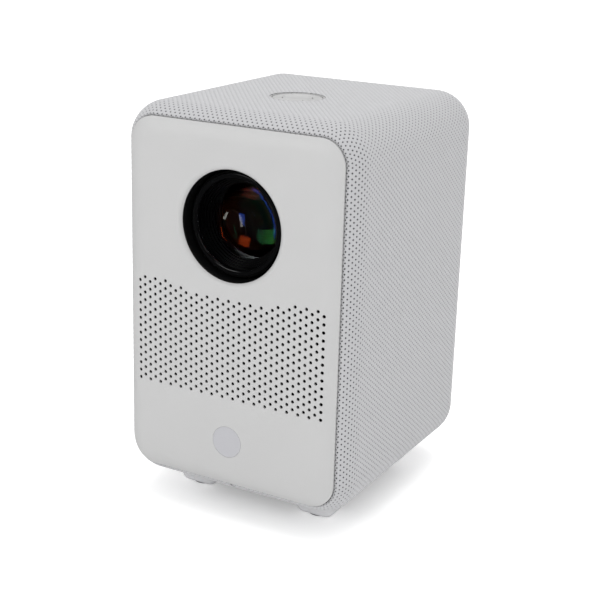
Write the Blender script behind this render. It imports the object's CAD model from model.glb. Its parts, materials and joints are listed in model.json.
# %% [markdown]
# # Home projector, from frame to picture
# The frame holds every piece of the projector as plain solid geometry, in metres, with +Z up and
# the lens looking along -Y. This lesson adds what the eye notices: a knitted sleeve with real
# dimples, ground glass, soft edges on the keys, and a material for every piece.

# %% Load the frame
import json
import math

import bmesh
import bpy
import numpy as np
from mathutils import Matrix, Vector

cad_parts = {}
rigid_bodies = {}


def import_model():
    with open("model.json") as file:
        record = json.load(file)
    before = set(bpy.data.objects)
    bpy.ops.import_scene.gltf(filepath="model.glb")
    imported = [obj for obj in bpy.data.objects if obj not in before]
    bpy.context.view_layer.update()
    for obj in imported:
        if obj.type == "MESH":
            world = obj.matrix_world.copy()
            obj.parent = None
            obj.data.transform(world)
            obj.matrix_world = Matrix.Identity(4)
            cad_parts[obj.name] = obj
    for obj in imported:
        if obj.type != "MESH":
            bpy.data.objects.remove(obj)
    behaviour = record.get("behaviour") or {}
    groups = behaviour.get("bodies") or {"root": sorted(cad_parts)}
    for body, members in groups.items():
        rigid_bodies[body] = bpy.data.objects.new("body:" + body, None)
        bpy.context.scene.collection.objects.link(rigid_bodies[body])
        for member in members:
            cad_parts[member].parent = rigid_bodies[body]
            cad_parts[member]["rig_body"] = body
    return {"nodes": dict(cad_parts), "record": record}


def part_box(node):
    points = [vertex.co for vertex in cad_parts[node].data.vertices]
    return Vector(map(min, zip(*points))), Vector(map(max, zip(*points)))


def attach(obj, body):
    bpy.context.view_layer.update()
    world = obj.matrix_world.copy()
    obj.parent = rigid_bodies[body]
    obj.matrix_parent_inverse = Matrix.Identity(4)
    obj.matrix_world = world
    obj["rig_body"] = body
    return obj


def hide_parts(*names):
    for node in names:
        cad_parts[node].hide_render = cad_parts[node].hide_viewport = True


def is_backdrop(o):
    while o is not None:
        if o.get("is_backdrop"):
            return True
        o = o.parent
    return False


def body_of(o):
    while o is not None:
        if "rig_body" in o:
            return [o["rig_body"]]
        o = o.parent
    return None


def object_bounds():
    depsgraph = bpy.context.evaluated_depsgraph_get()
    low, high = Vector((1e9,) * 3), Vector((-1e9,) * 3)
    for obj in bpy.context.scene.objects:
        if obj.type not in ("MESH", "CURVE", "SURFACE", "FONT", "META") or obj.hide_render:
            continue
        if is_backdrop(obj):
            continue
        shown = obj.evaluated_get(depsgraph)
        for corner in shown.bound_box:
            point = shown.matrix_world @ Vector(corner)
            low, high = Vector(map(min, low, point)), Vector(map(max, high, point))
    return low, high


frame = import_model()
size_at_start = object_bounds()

print("nodes in the frame:", len(frame["nodes"]))

# %% [markdown]
# Lengths are written in millimetres and turned into metres once. Colours are picked as sRGB hex
# codes, but Blender's sockets want linear light, so one function does that conversion everywhere.

# %% Units, colour, and the boxes that every piece is measured from
MM = 0.001


def linear(code):
    """'#rrggbb' in sRGB -> (r, g, b, 1) in linear light."""
    c = np.array([int(code[i:i + 2], 16) / 255 for i in (1, 3, 5)])
    c = np.where(c <= 0.04045, c / 12.92, ((c + 0.055) / 1.055) ** 2.4)
    return (*c.tolist(), 1.0)


panel_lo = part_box("front_panel")[0]
rear_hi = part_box("rear_panel")[1]
cloth_lo, cloth_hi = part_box("fabric_cover")
glass_lo, glass_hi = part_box("front_lens")
lens_axis = Vector((0, 0, (glass_lo.z + glass_hi.z) / 2))
print("body", [round(v / MM, 1) for v in cloth_hi - cloth_lo], "mm")

# %% [markdown]
# A mesh is built from numpy arrays: one array of points and one of faces. Writing the arrays in
# bulk keeps a sleeve of a hundred thousand points quick, and no Python loop visits a vertex.

# %% From arrays to a mesh object


def build(name, points, groups, body, smooth=True):
    """points (n, 3); groups is a list of (m, k) index arrays, one for each number of corners k."""
    groups = [np.asarray(g) for g in groups if len(g)]
    corners = np.concatenate([g.ravel() for g in groups]).astype(np.int32)
    counts = np.concatenate([np.full(len(g), g.shape[1]) for g in groups])
    starts = np.concatenate([[0], np.cumsum(counts)[:-1]]).astype(np.int32)
    mesh = bpy.data.meshes.new(name)
    mesh.vertices.add(len(points))
    mesh.vertices.foreach_set("co", np.asarray(points, np.float32).ravel())
    mesh.loops.add(len(corners))
    mesh.loops.foreach_set("vertex_index", corners)
    mesh.polygons.add(len(counts))
    mesh.polygons.foreach_set("loop_start", starts)
    mesh.update(calc_edges=True)
    mesh.polygons.foreach_set("use_smooth", np.full(len(counts), smooth))
    obj = bpy.data.objects.new(name, mesh)
    bpy.context.scene.collection.objects.link(obj)
    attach(obj, body)
    return obj


# %% [markdown]
# The frame's nodes are loose triangles. For the moulded pieces that show, a copy is welded by
# rounding its points to a micron, and then shaded smooth with its true corners kept sharp. Large
# flat faces should win where they meet a rounding, which is what a weighted normal does.

# %% Weld a copy of a node


def body_name(node):
    return body_of(frame["nodes"][node])[0]


def welded(node, angle=32):
    """A smooth copy of a CAD node that stands in for it, with edges above angle degrees kept sharp."""
    mesh = frame["nodes"][node].data
    co = np.empty(len(mesh.vertices) * 3, np.float32)
    mesh.vertices.foreach_get("co", co)
    tri = np.empty(len(mesh.loops), np.int32)
    mesh.loops.foreach_get("vertex_index", tri)
    key, back = np.unique(np.round(co.reshape(-1, 3) / 1e-6).astype(np.int64), axis=0, return_inverse=True)
    tri = back.ravel()[tri].reshape(-1, 3)
    keep = (tri[:, 0] != tri[:, 1]) & (tri[:, 1] != tri[:, 2]) & (tri[:, 2] != tri[:, 0])
    obj = build("seen_" + node, key * 1e-6, [tri[keep]], body_name(node))
    obj.data.set_sharp_from_angle(angle=math.radians(angle))
    mod = obj.modifiers.new("flat faces win", "WEIGHTED_NORMAL")
    mod.keep_sharp = True
    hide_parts(node)
    return obj


seen = {}
for name in ("front_panel", "rear_panel", "base_plate", "foot_front_left", "foot_front_right",
             "foot_rear_left", "foot_rear_right", "foot_pads", "lens_barrel", "focus_knob",
             "badge", "main_shell", "ir_window", "dc_jack", "audio_jack", "tripod_insert"):
    seen[name] = welded(name)
print("welded copies:", len(seen), "panel triangles:", len(seen["front_panel"].data.polygons))

# %% [markdown]
# The sleeve is a tube of knitted mesh pulled over a rounded box. Its outline is a rounded
# rectangle, and its profile from front to back is: a tuck behind the panel, the curve of the front
# edge, the flat side, the curve of the rear edge and a tuck again. Every point is therefore a
# pair of arc lengths (u around, v along), and two short formulas place it in space.

# %% The sleeve's outline and profile
corner_r, front_r, rear_r = 18 * MM, 15 * MM, 17 * MM
front_in, rear_in, tuck = 5.85 * MM, 5.85 * MM, 2.2 * MM
half_w = (cloth_hi.x - cloth_lo.x) / 2 - corner_r
half_h = (cloth_hi.z - cloth_lo.z) / 2 - corner_r
mid_z = (cloth_hi.z + cloth_lo.z) / 2
y_front, y_rear = panel_lo.y + 0.4 * MM, rear_hi.y
quarter = corner_r * math.pi / 2
around = [0, half_w, quarter, 2 * half_h, quarter, 2 * half_w, quarter, 2 * half_h, quarter, half_w]
around = np.cumsum(around)
girth = around[-1]


def outline(u):
    """Arc length u from the top's middle, clockwise from the front -> centre (x, z) and normal (x, z).

    On a straight run the centre slides and the normal stays; on a corner the centre stays and the
    normal turns by u / corner_r, so that the point is centre + normal * corner_r.
    """
    u = np.mod(u, girth)
    k = np.clip(np.searchsorted(around, u, side="right") - 1, 0, 8)
    s = u - around[k]
    turn = np.array([0, 0, 90, 90, 180, 180, 270, 270, 360.0])[k]
    turn = np.radians(turn + np.where(k % 2 == 1, -90, 0)) + np.where(k % 2 == 1, s / corner_r, 0)
    turn = np.where(k % 2 == 1, turn + math.pi / 2, turn)
    cx = np.choose(k, [s, half_w, half_w, half_w, half_w - s, -half_w, -half_w, -half_w, s - half_w])
    cz = np.choose(k, [half_h, half_h, half_h - s, -half_h, -half_h, -half_h, s - half_h, half_h, half_h])
    return cx, cz, np.sin(turn), np.cos(turn)


a1, a2 = math.acos(1 - front_in / front_r), math.acos(1 - rear_in / rear_r)
flat = y_rear - rear_r - y_front - front_r
along = np.cumsum([0, tuck, front_r * a1, flat, rear_r * a2, tuck])
length = along[-1]


def profile(v):
    """Arc length v from the front tuck's end -> inset from the outline, y, and the normal's two parts.

    On an edge of radius r at angle a: inset = r (1 - cos a) and y = r (1 - sin a) from its end.
    """
    k = np.clip(np.searchsorted(along, v, side="right") - 1, 0, 4)
    s = np.clip(v - along[k], 0, None)
    a = np.choose(k, [a1 + 0 * s, a1 - s / front_r, 0 * s, s / rear_r, a2 + 0 * s])
    front_y = y_front + front_r * (1 - np.sin(a))
    rear_y = y_rear - rear_r * (1 - np.sin(a))
    front_curve, rear_curve = front_r * (1 - np.cos(a)), rear_r * (1 - np.cos(a))
    inset = np.choose(k, [front_in + 0 * s, front_curve, 0 * s, rear_curve, rear_in + 0 * s])
    y = np.choose(k, [front_y + tuck - s, front_y, y_front + front_r + s, rear_y, rear_y - s])
    out = np.choose(k, [-1 + 0 * s, np.cos(a), 1 + 0 * s, np.cos(a), -1 + 0 * s])
    fore = np.choose(k, [0 * s, -np.sin(a), 0 * s, np.sin(a), 0 * s])
    return inset, y, out, fore


print("girth %.1f mm, front to back %.1f mm along the cloth" % (girth / MM, length / MM))

# %% [markdown]
# A spacer knit shows rows of small round dimples, each row shifted by half a step. Its surface
# falls into diamonds, one for each dimple: four corners on the cloth, a smaller diamond round the
# hole, and one point at the bottom. Real depth matters here, because it is what hides the dark
# bottoms when a side is seen at a shallow angle. A bump map could not do that.

# %% Diamonds and dimples
step_u_count = round(girth / (2.5 * MM))
pitch_u = girth / step_u_count
rows = int(length / (1.68 * MM)) - 1
pitch_v = length / (rows + 1)
hole_u, hole_v, hole_depth, lip = 0.64 * MM, 0.56 * MM, 0.66 * MM, 0.06 * MM


def cloth_point(u, v, depth):
    """P(u, v) = C(u) + n(u) (R - inset(v)) at y(v), pushed down by depth against the normal."""
    cx, cz, nx, nz = outline(u)
    inset, y, out, fore = profile(v)
    reach = corner_r - inset - depth * out
    return np.stack([cx + nx * reach, y - depth * fore, mid_z + cz + nz * reach], -1)


j, i = np.meshgrid(np.arange(rows), np.arange(step_u_count), indexing="ij")
dot_u = (i + (j % 2) / 2) * pitch_u
dot_v = (j + 1) * pitch_v
cj, ci = np.meshgrid(np.arange(-1, rows + 1), np.arange(step_u_count), indexing="ij")
corner_u = (ci + 0.5 + (cj % 2) / 2) * pitch_u
corner_v = (cj + 1) * pitch_v
ring_u = dot_u[..., None] + hole_u * np.array([1, 0, -1, 0])
ring_v = np.clip(dot_v[..., None] + hole_v * np.array([0, 1, 0, -1]), 0, length)

corner_id = np.arange(cj.size).reshape(cj.shape)
ring_id = cj.size + np.arange(ring_u.size).reshape(ring_u.shape)
dot_id = cj.size + ring_u.size + np.arange(dot_u.size).reshape(dot_u.shape)
side = np.where(j % 2 == 0, i - 1, i) % step_u_count
east, west = corner_id[j + 1, i], corner_id[j + 1, (i - 1) % step_u_count]
north, south = corner_id[j + 2, side], corner_id[j, side]

all_u = np.concatenate([corner_u.ravel(), ring_u.ravel(), dot_u.ravel()])
all_v = np.concatenate([corner_v.ravel(), ring_v.ravel(), dot_v.ravel()])
deep = np.concatenate([np.zeros(cj.size), np.full(ring_u.size, lip), np.full(dot_u.size, hole_depth)])
cloth = cloth_point(all_u, all_v, deep)
print("dimples:", dot_u.size, "rows:", rows)

# %% [markdown]
# The sleeve is cut away for the control pad on top and the plate underneath. A point that falls
# inside a cut is moved to its edge, which gives a clean rim, and a diamond that lies wholly inside
# is dropped.

# %% Cut the openings and make the sleeve
ok_lo, ok_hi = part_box("key_ok")
pad_mid = (ok_lo + ok_hi) / 2
pad_hole = 13.02 * MM
plate_lo, plate_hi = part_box("base_plate")
cut_mid = (plate_lo + plate_hi) / 2
cut_half = (plate_hi - plate_lo) / 2 + Vector((0.2, 0.2, 0)) * MM

on_top = cloth[:, 2] > cloth_hi.z - 2 * MM
off = cloth[:, :2] - np.array(pad_mid[:2])
reach = np.maximum(np.hypot(off[:, 0], off[:, 1]), 1e-9)
in_pad = on_top & (reach < pad_hole)
cloth[in_pad, :2] = (np.array(pad_mid[:2]) + off * (pad_hole / reach)[:, None])[in_pad]

below = cloth[:, 2] < cloth_lo.z + 2 * MM
off = cloth[:, :2] - np.array(cut_mid[:2])
room = np.array(cut_half[:2]) - np.abs(off)
in_base = below & (room > 0).all(1)
nearest = room.argmin(1)
side_sign = np.where(off >= 0, 1, -1)
edge = np.array(cut_mid[:2]) + side_sign * np.array(cut_half[:2])
for axis in (0, 1):
    pick = in_base & (nearest == axis)
    cloth[pick, axis] = edge[pick, axis]

gone = in_pad | in_base
cells = np.stack([east, north, west, south], -1)
kept = ~(gone[cells].all(-1) & gone[dot_id])
r = ring_id[kept]
e, n, w, s, d = east[kept], north[kept], west[kept], south[kept], dot_id[kept]
rim = (e, n, w, s)
tri = []
for k in range(4):
    m = (k + 1) % 4
    tri += [(rim[k], rim[m], r[:, m]), (rim[k], r[:, m], r[:, k]), (r[:, k], r[:, m], d)]
faces = np.concatenate([np.stack(t, -1) for t in tri])
used, faces = np.unique(faces, return_inverse=True)
faces = faces.reshape(-1, 3)
p = cloth[used]
area = np.linalg.norm(np.cross(p[faces[:, 1]] - p[faces[:, 0]], p[faces[:, 2]] - p[faces[:, 0]]), axis=1) / 2
faces = faces[area > 1e-12]
sleeve = build("knit_sleeve", p, [faces], "case")
shade = sleeve.data.attributes.new("pore", "FLOAT", "POINT")
shade.data.foreach_set("value", (deep[used] / hole_depth).astype(np.float32))
uv = sleeve.data.uv_layers.new(name="cloth")
corner = np.empty(len(sleeve.data.loops), np.int32)
sleeve.data.loops.foreach_get("vertex_index", corner)
flat_uv = np.stack([all_u[used], all_v[used]], -1)[corner].reshape(-1, 3, 2)
wrap = flat_uv[..., 0].max(1) - flat_uv[..., 0].min(1) > girth / 2
flat_uv[wrap, :, 0] += np.where(flat_uv[wrap, :, 0] < girth / 2, girth, 0)
uv.data.foreach_set("uv", flat_uv.astype(np.float32).ravel())
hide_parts("fabric_cover")
print("sleeve triangles:", len(faces), "flat cut %.0f x %.0f mm" % (girth / MM, length / MM))

# %% [markdown]
# Lens elements, the trim ring and the keys' edges are turned shapes. One helper spins a profile of
# (radius, distance) points round an axis; a radius of 0 closes the end with a fan.

# %% Spin a profile


def spun(name, profile_points, centre, axis, body, parts=128, sweep=None):
    """Turns (radius, distance) points about axis ('y' or 'z') through centre.

    Point (r, t) at angle a lands at centre + r (cos a, sin a) across the axis and t along it.
    With sweep = (a0, a1) in degrees it is a sector, and its two ends are closed with a face.
    """
    prof = np.asarray(profile_points, float)
    ends = np.radians(sweep if sweep else (0, 360))
    a = np.linspace(*ends, parts + 1)
    a = a if sweep else a[:-1]
    rr, tt = prof[:, 0], prof[:, 1]
    c, s_ = np.cos(a)[:, None] * rr, np.sin(a)[:, None] * rr
    t_all = np.broadcast_to(tt, c.shape)
    xyz = np.stack([c, t_all, -s_] if axis == "y" else [c, s_, t_all], -1) + np.array(centre)
    n_a, n_p = c.shape
    ids = np.arange(n_a * n_p).reshape(n_a, n_p)
    closed = bool(np.allclose(prof[0], prof[-1]))
    if closed:
        ids[:, -1] = ids[:, 0]
    nxt = np.roll(ids, -1, 0) if not sweep else ids[1:]
    cur = ids if not sweep else ids[:-1]
    quads = np.stack([cur[:, :-1], nxt[:, :-1], nxt[:, 1:], cur[:, 1:]], -1).reshape(-1, 4)
    groups = [quads]
    if sweep:
        loop = ids[0, :-1] if closed else ids[0]
        other = ids[-1, :-1] if closed else ids[-1]
        groups += [loop[None, :], other[None, ::-1]]
    obj = build(name, xyz.reshape(-1, 3), groups, body)
    bm = bmesh.new()
    bm.from_mesh(obj.data)
    bmesh.ops.remove_doubles(bm, verts=bm.verts, dist=1e-7)
    bmesh.ops.dissolve_degenerate(bm, dist=1e-8, edges=bm.edges)
    bmesh.ops.recalc_face_normals(bm, faces=bm.faces)
    bm.to_mesh(obj.data)
    bm.free()
    obj.data.set_sharp_from_angle(angle=math.radians(40))
    return obj


# %% [markdown]
# Each glass element is two spherical faces and a ground edge. Built from the sphere's own formula
# instead of the frame's facets, its reflections stay round. The radii of curvature are those of
# the frame's lenses.

# %% Ground glass


def lens_profile(r, edge_t, front_radius, rear_radius, steps=40):
    """Convex both ways: t = R - sqrt(R^2 - r^2) on each side of an edge of thickness edge_t."""
    q = np.linspace(0, r, steps)
    front = np.stack([q, front_radius - np.sqrt(front_radius ** 2 - q ** 2)], -1)
    sag = front[-1, 1]
    q = q[::-1]
    drop = rear_radius - np.sqrt(rear_radius ** 2 - q ** 2)
    rear = np.stack([q, sag + edge_t + drop[0] - drop], -1)
    return np.concatenate([front, rear])


for node, edge_t, front_radius, rear_radius in (("front_lens", 2.5, 42, 60), ("middle_lens", 2, 40, 55),
                                                ("rear_lens", 2, 50, 38)):
    lo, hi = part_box(node)
    half = (hi.x - lo.x) / 2
    shape = lens_profile(half, edge_t * MM, front_radius * MM, rear_radius * MM)
    seen[node] = spun("ground_" + node, shape, (0, lo.y, lens_axis.z), "y", body_name(node), 160)
    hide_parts(node)
    measures = (half / MM, shape[:, 1].max() / MM, (hi.y - lo.y) / MM)
    print(node, "radius %.1f mm, thickness %.2f of %.2f mm" % measures)

# %% [markdown]
# The trim ring is a gloss black ring whose inner and outer edges are rolled, so that it catches a
# thin line of light round the mouth of the barrel.

# %% Trim ring
lo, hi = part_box("lens_trim_ring")
ring_out, ring_thick = (hi.x - lo.x) / 2, hi.y - lo.y
inner = ring_out - 2.7 * MM
edge_r = 0.5 * MM
roll = np.radians(np.linspace(0, 90, 7))
shape = [(inner, ring_thick), (ring_out, ring_thick)]
shape += [(ring_out - edge_r + edge_r * math.cos(b), edge_r - edge_r * math.sin(b)) for b in roll]
roll_in = min(1.1 * MM, ring_thick)
shape += [(inner + roll_in - roll_in * math.sin(b), roll_in - roll_in * math.cos(b)) for b in roll]
shape += [shape[0]]
seen["lens_trim_ring"] = spun("rolled_trim_ring", shape, (0, lo.y, lens_axis.z), "y", "lens", 160)
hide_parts("lens_trim_ring")
print("trim ring outer radius %.1f mm" % (ring_out / MM))

# %% [markdown]
# The five keys are moulded with a small radius on their top edges. The centre key is a turned cap
# and the four keys round it are sectors of a ring, a little apart. Each rides its own body, so
# each can be pressed alone.

# %% Keys with rounded tops
key_r, gap = 0.45 * MM, 0.3 * MM
ok_r, key_top = (ok_hi.x - ok_lo.x) / 2, ok_hi.z
key_t = 2.8 * MM
dish = 0.25 * MM
cap = [(0, -key_t), (ok_r, -key_t)]
cap += [(ok_r - key_r + key_r * math.cos(b), -key_r + key_r * math.sin(b)) for b in roll]
cap += [(q * (ok_r - key_r), -dish * (1 - q * q)) for q in np.linspace(0.98, 0, 16)]
seen["key_ok"] = spun("cap_key_ok", cap, (pad_mid.x, pad_mid.y, key_top), "z", "key_ok", 96)
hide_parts("key_ok")
up_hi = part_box("key_up")[1]
outer = up_hi.y - pad_mid.y
lowest = ok_r + gap
sector = [(lowest, -key_t), (outer, -key_t)]
sector += [(outer - key_r + key_r * math.cos(b), -key_r + key_r * math.sin(b)) for b in roll]
sector += [(lowest + key_r - key_r * math.sin(b), -key_r + key_r * math.cos(b)) for b in roll]
sector += [sector[0]]
half_gap = math.degrees(gap / 2 / ((outer + lowest) / 2))
for node, middle in (("key_right", 0), ("key_up", 90), ("key_left", 180), ("key_down", 270)):
    ends = (middle - 45 + half_gap, middle + 45 - half_gap)
    seen[node] = spun("arc_" + node, sector, (pad_mid.x, pad_mid.y, key_top), "z", node, 24, ends)
    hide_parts(node)
seen["pad_rim"] = welded("pad_rim")
print("keys: cap radius %.1f mm, ring %.1f to %.1f mm" % (ok_r / MM, lowest / MM, outer / MM))

# %% [markdown]
# Every material is built from a few nodes. One helper adds a node, sets its properties, and joins
# or fills its inputs, so a recipe reads as a list. An input may be a value, a socket, or another
# node, whose first output is then meant.

# %% A helper for nodes


def node(tree, kind, settings=None, inputs=None):
    n = tree.nodes.new(kind)
    for key, value in (settings or {}).items():
        setattr(n, key, value)
    for key, value in (inputs or {}).items():
        value = value.outputs[0] if isinstance(value, bpy.types.Node) else value
        if isinstance(value, bpy.types.NodeSocket):
            tree.links.new(value, n.inputs[key])
        else:
            n.inputs[key].default_value = value
    return n


def new_material(name):
    mat = bpy.data.materials.new(name)
    mat.use_nodes = True
    mat.node_tree.nodes.clear()
    return mat, mat.node_tree


MATH, COLOURS = "ShaderNodeMath", {"data_type": "RGBA"}
print("helper ready")

# %% [markdown]
# Moulded plastic is spark eroded: a fine grain in the steel of the mould leaves pits some tenths
# of a millimetre across and a few microns deep. The grain sets the bump, and a wider noise makes
# the roughness wander, as handling and flow lines do. The IOR of ABS is near 1.53.

# %% Plastics, rubber and paint


def moulded(name, colour, rough, grain=0.25, pits=4.0, spread=0.05, ior=1.53, shine=0.5, shift=0.03):
    """grain is the size of a pit in millimetres, pits their depth in microns."""
    mat, t = new_material(name)
    where = node(t, "ShaderNodeTexCoord").outputs["Object"]
    fine = node(t, "ShaderNodeTexNoise", inputs={"Vector": where, "Scale": 1 / (grain * MM), "Detail": 2.0})
    wide = node(t, "ShaderNodeTexNoise", inputs={"Vector": where, "Scale": 1 / (18 * MM), "Detail": 4.0})
    base = np.array(linear(colour))
    darker = (*(base[:3] * (1 - shift)), 1.0)
    tint = node(t, "ShaderNodeMix", COLOURS, {0: wide, 6: darker, 7: tuple(base)})
    relief = node(t, "ShaderNodeBump", inputs={"Height": fine, "Distance": pits * 1e-6, "Strength": 1.0})
    sheen = node(t, "ShaderNodeMapRange", inputs={"Value": wide, "From Min": 0.3, "From Max": 0.7,
                                                  "To Min": rough - spread, "To Max": rough + spread})
    surface = node(t, "ShaderNodeBsdfPrincipled", None, {"Base Color": tint.outputs[2], "Roughness": sheen,
                                                         "Normal": relief, "IOR": ior,
                                                         "Specular IOR Level": shine})
    node(t, "ShaderNodeOutputMaterial", inputs={"Surface": surface})
    return mat


materials = {
    "panel_plastic": moulded("ABS, satin, warm grey", "#b4b4b4", 0.46, 0.3, 2.5),
    "badge_paint": moulded("Satin paint, pale grey", "#adadb1", 0.34, 0.15, 1.5),
    "shell_plastic": moulded("ABS, black shell", "#18181a", 0.5),
    "rear_plastic": moulded("ABS, fine grain", "#b4b4b5", 0.55, 0.5, 12),
    "base_plastic": moulded("ABS, dark grey grain", "#55565a", 0.6, 0.5, 12),
    "foot_plastic": moulded("ABS, satin, foot", "#cacacc", 0.5, 0.3, 3),
    "foot_rubber": moulded("Silicone rubber, grey", "#77777a", 0.85, 0.2, 6, ior=1.41),
    "key_plastic": moulded("Polycarbonate, satin, key", "#bdbdbd", 0.42, 0.25, 2, ior=1.585),
    "barrel_black": moulded("Polycarbonate, black, matt", "#030304", 0.32, 0.2, 3, ior=1.585, shine=0.22),
    "trim_gloss": moulded("ABS, piano black", "#040405", 0.14, 0.6, 0.3, 0.03, shine=0.3),
    "knob_plastic": moulded("ABS, charcoal, knob", "#3a3a3c", 0.5, 0.3, 6),
    "gear_plastic": moulded("Acetal, natural", "#dcdcd2", 0.35, 0.4, 1, ior=1.48),
    "engine_plastic": moulded("Nylon, glass filled, black", "#1b1b1d", 0.6, 0.5, 14),
    "lead_rubber": moulded("PVC insulation, red", "#7a1414", 0.5, 0.4, 3),
    "jack_plastic": moulded("PBT, black socket", "#151516", 0.4, 0.3, 2, ior=1.55),
    "ir_plastic": moulded("Acrylic, infrared filter", "#14080c", 0.08, 0.8, 0.3, 0.02, ior=1.49),
    "cone_paper": moulded("Pressed paper cone", "#2a2a2c", 0.9, 0.6, 25),
    "led_ceramic": moulded("Alumina ceramic", "#d8d5c4", 0.45, 0.2, 2, ior=1.76),
}
print("moulded materials:", len(materials))

# %% [markdown]
# The drilled holes of the speaker grille look black, because dust and shade gather in them, and the
# wall of the lens opening is flocked black, so that it throws no light back at the lens. The panel's
# colour therefore falls to near black in two places that start a little behind its face: a box
# over the drilled field and a cylinder round the lens.

# %% Shade inside the grille and the lens opening
grille_half_w, grille_half_h, grille_mid = 49.4 * MM, 28.5 * MM, 85.5 * MM
grille_start, flock_start, flock_r = 0.6 * MM, 1.4 * MM, 28.4 * MM

tree = materials["panel_plastic"].node_tree
where = node(tree, "ShaderNodeTexCoord").outputs["Object"]
x, y, z = node(tree, "ShaderNodeSeparateXYZ", inputs={0: where}).outputs
in_width = node(tree, MATH, {"operation": "COMPARE"}, {0: x, 1: 0.0, 2: grille_half_w})
in_height = node(tree, MATH, {"operation": "COMPARE"}, {0: z, 1: grille_mid, 2: grille_half_h})
behind_face = node(tree, MATH, {"operation": "GREATER_THAN"}, {0: y, 1: panel_lo.y + grille_start})
drilled = node(tree, MATH, {"operation": "MULTIPLY"}, {0: in_width, 1: in_height})
drilled = node(tree, MATH, {"operation": "MULTIPLY"}, {0: drilled, 1: behind_face})

off_axis = node(tree, "ShaderNodeVectorMath", {"operation": "MULTIPLY_ADD"},
                {0: where, 1: (1, 0, 1), 2: -lens_axis})
radius = node(tree, "ShaderNodeVectorMath", {"operation": "LENGTH"}, {0: off_axis}).outputs[1]
near_axis = node(tree, MATH, {"operation": "LESS_THAN"}, {0: radius, 1: flock_r})
in_opening = node(tree, MATH, {"operation": "GREATER_THAN"}, {0: y, 1: panel_lo.y + flock_start})
flock = node(tree, MATH, {"operation": "MULTIPLY"}, {0: near_axis, 1: in_opening})

inside = node(tree, MATH, {"operation": "MAXIMUM"}, {0: drilled, 1: flock})
surface = next(n for n in tree.nodes if n.bl_idname == "ShaderNodeBsdfPrincipled")
plain = surface.inputs["Base Color"].links[0].from_socket
shaded = node(tree, "ShaderNodeMix", COLOURS, {0: inside, 6: plain, 7: linear("#0c0c0d")})
tree.links.new(shaded.outputs[2], surface.inputs["Base Color"])
print("the panel's face is at y = %.2f mm" % (panel_lo.y / MM))

# %% [markdown]
# Metals differ in how they were worked. Turned brass and drawn steel carry fine lines, an extruded
# heat sink has lines along its length, and plated parts are smoother. Stretching the noise along
# one axis draws such lines.

# %% Metals


def worked(name, colour, rough, along_axis="y", line=0.12, depth=1.5):
    """Fine lines, line millimetres apart across the axis and forty times longer along it."""
    mat, t = new_material(name)
    where = node(t, "ShaderNodeTexCoord").outputs["Object"]
    fine, long = 1 / (line * MM), 1 / (40 * line * MM)
    scale = [long if a == along_axis else fine for a in "xyz"]
    spread = node(t, "ShaderNodeMapping", inputs={"Vector": where, "Scale": scale})
    lines = node(t, "ShaderNodeTexNoise", inputs={"Vector": spread, "Scale": 1.0, "Detail": 3.0})
    sheen = node(t, "ShaderNodeMapRange", inputs={"Value": lines, "To Min": rough * 0.8,
                                                  "To Max": rough * 1.25})
    relief = node(t, "ShaderNodeBump", inputs={"Height": lines, "Distance": depth * 1e-6, "Strength": 1.0})
    base = linear(colour)
    darker = (*(0.88 * c for c in base[:3]), 1.0)
    tint = node(t, "ShaderNodeMix", COLOURS, {0: lines, 6: darker, 7: base})
    surface = node(t, "ShaderNodeBsdfPrincipled", None, {"Base Color": tint.outputs[2], "Metallic": 1.0,
                                                         "Roughness": sheen, "Normal": relief})
    node(t, "ShaderNodeOutputMaterial", inputs={"Surface": surface})
    return mat


materials.update({
    "brass": worked("Brass, turned", "#c9a45a", 0.3, "z"),
    "bright_steel": worked("Spring steel, drawn", "#c6c7ca", 0.25, "y"),
    "screw_steel": worked("Steel, black oxide", "#3c3c3f", 0.38, "z"),
    "cast_alloy": worked("Aluminium, extruded", "#d4d6d9", 0.4, "y"),
    "speaker_steel": worked("Steel, black plated", "#39393c", 0.42, "y"),
})
print("metals:", 5)

# %% [markdown]
# A circuit board is glass cloth in epoxy under green solder resist. The copper tracks show as
# slightly lighter, raised lines, which a coarse square cell pattern suggests well enough for a
# piece that is only glimpsed through the vents.

# %% Circuit board
mat, t = new_material("Glass epoxy, green solder resist")
where = node(t, "ShaderNodeTexCoord").outputs["Object"]
cell = node(t, "ShaderNodeTexVoronoi", {"distance": "CHEBYCHEV", "feature": "F1"},
            {"Vector": where, "Scale": 1 / (3 * MM), "Randomness": 0.8})
track = node(t, "ShaderNodeMapRange", inputs={"Value": cell.outputs["Distance"], "From Min": 0.30,
                                              "From Max": 0.36})
tint = node(t, "ShaderNodeMix", COLOURS, {0: track, 6: linear("#1f6b3c"), 7: linear("#0e4526")})
relief = node(t, "ShaderNodeBump", inputs={"Height": track, "Distance": 0.03 * MM, "Strength": 0.6})
surface = node(t, "ShaderNodeBsdfPrincipled", None, {"Base Color": tint.outputs[2], "Roughness": 0.35,
                                                     "Normal": relief, "IOR": 1.55})
node(t, "ShaderNodeOutputMaterial", inputs={"Surface": surface})
materials["circuit_board"] = mat
print("board made")

# %% [markdown]
# The projection lens is coated glass: each face has a film a fraction of a wavelength thick, so
# what little it reflects is tinted. The film's thickness differs from element to element, which is
# why one lens shows violet, green and amber glints at once. Such glass has an IOR of 1.52, and
# magnesium fluoride, the usual film, 1.38.

# %% Coated glass and clear glass


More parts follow.
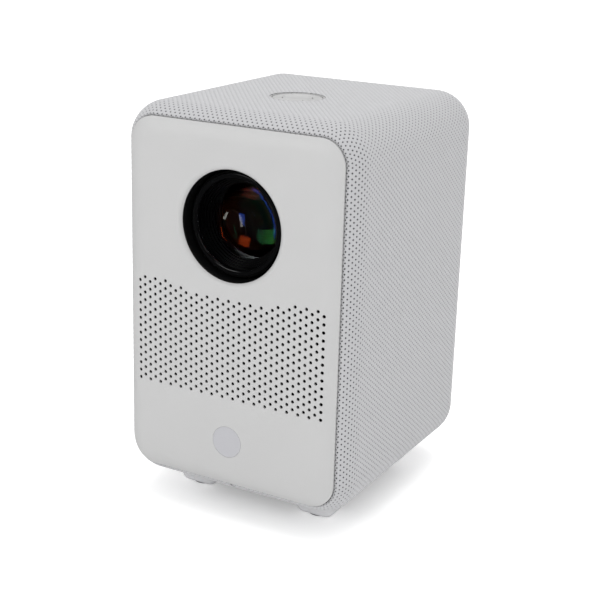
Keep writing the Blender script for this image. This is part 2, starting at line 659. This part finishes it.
def coated(name, film, glint="#ffffff", rough=0.0):
    """film is the coating's thickness in nanometres, glint the colour that it leaves in a reflection."""
    mat, t = new_material(name)
    where = node(t, "ShaderNodeTexCoord").outputs["Object"]
    haze = node(t, "ShaderNodeTexNoise", inputs={"Vector": where, "Scale": 1 / (2 * MM), "Detail": 4.0})
    polish = node(t, "ShaderNodeMapRange", inputs={"Value": haze, "From Min": 0.6, "From Max": 0.9,
                                                   "To Min": rough, "To Max": rough + 0.02})
    surface = node(t, "ShaderNodeBsdfPrincipled", None, {
        "Base Color": (1, 1, 1, 1), "Transmission Weight": 1.0, "Roughness": polish, "IOR": 1.52,
        "Specular Tint": linear(glint), "Specular IOR Level": 0.4, "Thin Film Thickness": film,
        "Thin Film IOR": 1.38})
    node(t, "ShaderNodeOutputMaterial", inputs={"Surface": surface})
    return mat


glass = {"front_lens": coated("Optical glass, amber coating", 330.0, "#e0562a"),
         "middle_lens": coated("Optical glass, green coating", 480.0, "#2fb35a"),
         "rear_lens": coated("Optical glass, violet coating", 270.0, "#5f74ff")}
materials["lens_glass"] = glass["front_lens"]
materials["clear_glass"] = coated("Acrylic optics, clear", 0.0)
mat, t = new_material("Polariser film, dark")
surface = node(t, "ShaderNodeBsdfPrincipled", None, {"Base Color": linear("#15171e"), "Roughness": 0.12,
                                                     "IOR": 1.5, "Coat Weight": 0.6})
node(t, "ShaderNodeOutputMaterial", inputs={"Surface": surface})
materials["lcd_dark"] = mat
print("glasses:", list(glass))

# %% [markdown]
# The knit is light polyester yarn. Between the dimples its loops cross at a slant, about 0.7 mm
# apart, which two sine waves of the cloth's own coordinates give. The dimples' points carry a
# value from 0 on the face to 1 at the bottom, and the colour follows it into the dark. Where the
# sleeve is closed underneath, a seam runs from front to back.

# %% Knitted polyester
mat, t = new_material("Polyester knit, light grey")
uv_node = node(t, "ShaderNodeUVMap", {"uv_map": "cloth"})
split = node(t, "ShaderNodeSeparateXYZ", inputs={0: uv_node.outputs[0]})
u_len, v_len = split.outputs[0], split.outputs[1]
turns = 2 * math.pi / (0.7 * MM)
slants = []
for operation in ("ADD", "SUBTRACT"):
    along_slant = node(t, MATH, {"operation": operation}, {0: u_len, 1: v_len})
    angle = node(t, MATH, {"operation": "MULTIPLY"}, {0: along_slant, 1: turns})
    slants.append(node(t, MATH, {"operation": "SINE"}, {0: angle}))
loops = node(t, MATH, {"operation": "MULTIPLY"}, {0: slants[0], 1: slants[1]})
where = node(t, "ShaderNodeTexCoord").outputs["Object"]
fuzz = node(t, "ShaderNodeTexNoise", inputs={"Vector": where, "Scale": 1 / (0.25 * MM), "Detail": 3.0})
pore = node(t, "ShaderNodeAttribute", {"attribute_name": "pore"}).outputs["Fac"]
dark = node(t, "ShaderNodeMapRange", inputs={"Value": pore, "From Min": 0.1, "From Max": 0.55})
crossing = node(t, MATH, {"operation": "MULTIPLY_ADD"}, {0: loops, 1: 0.5, 2: 0.5})
yarn = node(t, "ShaderNodeMix", COLOURS, {0: crossing, 6: linear("#a4a4a6"), 7: linear("#bbbbbd")})
speck = node(t, "ShaderNodeMix", COLOURS, {0: fuzz, 6: linear("#adadaf"), 7: yarn.outputs[2]})
tint = node(t, "ShaderNodeMix", COLOURS, {0: dark, 6: speck.outputs[2], 7: linear("#1f1f21")})
seam_at, seam_half_w = girth / 2, 0.45 * MM
seam = node(t, MATH, {"operation": "COMPARE"}, {0: u_len, 1: seam_at, 2: seam_half_w})
tint = node(t, "ShaderNodeMix", COLOURS, {0: seam, 6: tint.outputs[2], 7: linear("#5a5a5c")})
height = node(t, MATH, {"operation": "MULTIPLY_ADD"}, {0: loops, 1: 0.5, 2: fuzz})
relief = node(t, "ShaderNodeBump", inputs={"Height": height, "Distance": 0.05 * MM, "Strength": 0.8})
surface = node(t, "ShaderNodeBsdfPrincipled", None, {"Base Color": tint.outputs[2], "Roughness": 0.92,
                                                     "Normal": relief, "IOR": 1.5, "Sheen Weight": 0.15,
                                                     "Sheen Roughness": 0.4})
node(t, "ShaderNodeOutputMaterial", inputs={"Surface": surface})
materials["knit_fabric"] = mat
print("knit made, seam at u = %.0f mm" % (seam_at / MM))

# %% [markdown]
# Each piece now takes the material that the part's record names for it. Pieces that are shown as
# they come from the frame get a material slot, and the new pieces get theirs with the same name.

# %% Hand out the materials
slots = {s["node"]: s["material_slot"] for s in frame["record"]["subparts"]}
for name, obj in frame["nodes"].items():
    piece = seen.get(name, sleeve if name == "fabric_cover" else obj)
    piece.data.materials.clear()
    piece.data.materials.append(glass.get(name, materials[slots[name]]))
print("materials in use:", len({m for m in slots.values()}))

# %% [markdown]
# The object stands on a pale table that curves up behind it, as in a product studio. Three soft
# panels light it. The surroundings count as white for what is lit and for the backdrop, but as
# darker for what mirrors them, so that glass and gloss stay deep.

# %% Studio
scene = bpy.context.scene
floor_r = 6.0
bend = np.radians(np.linspace(0, 90, 24))
sweep_y = np.concatenate([[-4.0, 2.0], 2.0 + 1.5 * np.sin(bend), [3.5]])
sweep_z = np.concatenate([[0, 0], 1.5 - 1.5 * np.cos(bend), [5.0]])
gx = np.array([-floor_r, floor_r])
pts = np.stack([np.repeat(gx, len(sweep_y)), np.tile(sweep_y, 2), np.tile(sweep_z, 2)], -1)
k = np.arange(len(sweep_y) - 1)
m = len(sweep_y)
floor_mesh = bpy.data.meshes.new("studio_floor")
floor_mesh.from_pydata(pts.tolist(), [], np.stack([k, k + m, k + m + 1, k + 1], -1).tolist())
floor = bpy.data.objects.new("studio_floor", floor_mesh)
scene.collection.objects.link(floor)
mat, t = new_material("Backdrop paper, white")
where = node(t, "ShaderNodeTexCoord").outputs["Object"]
grain = node(t, "ShaderNodeTexNoise", inputs={"Vector": where, "Scale": 900.0})
ray = node(t, "ShaderNodeLightPath").outputs
mirrored = node(t, MATH, {"operation": "MAXIMUM"}, {0: ray["Is Glossy Ray"], 1: ray["Is Transmission Ray"]})
paper = node(t, "ShaderNodeMix", COLOURS, {0: grain, 6: linear("#f6f6f6"), 7: linear("#fbfbfb")})
seen_paper = node(t, "ShaderNodeMix", COLOURS, {0: mirrored, 6: paper.outputs[2], 7: linear("#3a3a3a")})
glow = node(t, MATH, {"operation": "MULTIPLY_ADD"}, {0: mirrored, 1: -0.24, 2: 0.24})
surface = node(t, "ShaderNodeBsdfPrincipled", None, {"Base Color": seen_paper.outputs[2], "Roughness": 0.9,
                                                     "Emission Color": (1, 1, 1, 1),
                                                     "Emission Strength": glow})
node(t, "ShaderNodeOutputMaterial", inputs={"Surface": surface})
floor_mesh.materials.append(mat)

world = bpy.data.worlds.new("soft studio")
scene.world = world
world.use_nodes = True
world.node_tree.nodes.clear()
t = world.node_tree
ray = node(t, "ShaderNodeLightPath").outputs
mirrored = node(t, MATH, {"operation": "MAXIMUM"}, {0: ray["Is Glossy Ray"], 1: ray["Is Transmission Ray"]})
level = node(t, MATH, {"operation": "MULTIPLY_ADD"}, {0: mirrored, 1: -0.89, 2: 0.92})
level = node(t, MATH, {"operation": "MAXIMUM"}, {0: level, 1: ray["Is Camera Ray"]})
sky = node(t, "ShaderNodeBackground", inputs={"Color": (1, 1, 1, 1), "Strength": level})
node(t, "ShaderNodeOutputWorld", inputs={"Surface": sky})


def softbox(name, at, width, height, watts):
    """An area light at a point in metres, turned to the projector's middle."""
    lamp = bpy.data.lights.new(name, "AREA")
    lamp.shape, lamp.size, lamp.size_y, lamp.energy = "RECTANGLE", width, height, watts
    obj = bpy.data.objects.new(name, lamp)
    obj.location = at
    obj.rotation_euler = (Vector((0, 0, 0.1)) - Vector(at)).to_track_quat("-Z", "Y").to_euler()
    scene.collection.objects.link(obj)
    obj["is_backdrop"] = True
    return obj


softbox("key light", (-0.7, -1.6, 1.0), 0.8, 0.8, 7)
softbox("strip light", (0.9, -1.2, 0.9), 0.2, 1.1, 2.2)
softbox("top light", (0.1, 0.2, 1.7), 1.2, 1.2, 11.5)
floor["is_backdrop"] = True
scene.view_settings.view_transform = "Standard"
scene.view_settings.look = "None"
print("studio ready")

# %% [markdown]
# The camera stands about 0.66 m from the middle of the body, 29.1 degrees round to the right and
# 17.6 above, and is tilted by under 2 degrees. A focal length of 80 mm on a 36 mm sensor is that
# of a product picture: long enough to keep the upright edges nearly parallel.

# %% Camera
azimuth, elevation, roll = (math.radians(v) for v in (29.117, 17.568, 1.626))
distance, aim = 658.76 * MM, Vector((-6.14 * MM, 5 * MM, 90.8 * MM))
level_part = math.cos(elevation)
back = Vector((math.sin(azimuth) * level_part, -math.cos(azimuth) * level_part, math.sin(elevation)))
right = Vector((math.cos(azimuth), math.sin(azimuth), 0))
up = back.cross(right)
x_axis = math.cos(roll) * right + math.sin(roll) * up
y_axis = -math.sin(roll) * right + math.cos(roll) * up
cam = bpy.data.cameras.new("camera")
cam.sensor_width, cam.lens = 36.0, 80.2356
cam.clip_start, cam.clip_end = 0.05, 30
eye = bpy.data.objects.new("camera", cam)
turn = Matrix((x_axis, y_axis, back)).transposed().to_4x4()
eye.matrix_world = Matrix.Translation(aim + back * distance) @ turn
scene.collection.objects.link(eye)
scene.camera = eye
print("focal length %.1f mm" % cam.lens)

# %% [markdown]
# Last, the size of the finished model is written next to the size of the frame, to show that the
# knit, the glass and the keys stayed inside the solids that they stand for.

# %% Compare sizes and finish
size_at_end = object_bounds()
sizes = {"frame": [list(v) for v in size_at_start], "finished": [list(v) for v in size_at_end]}
print("size change in mm:", [round((b - a) / MM, 2) for f, g in zip(*sizes.values()) for a, b in zip(f, g)])
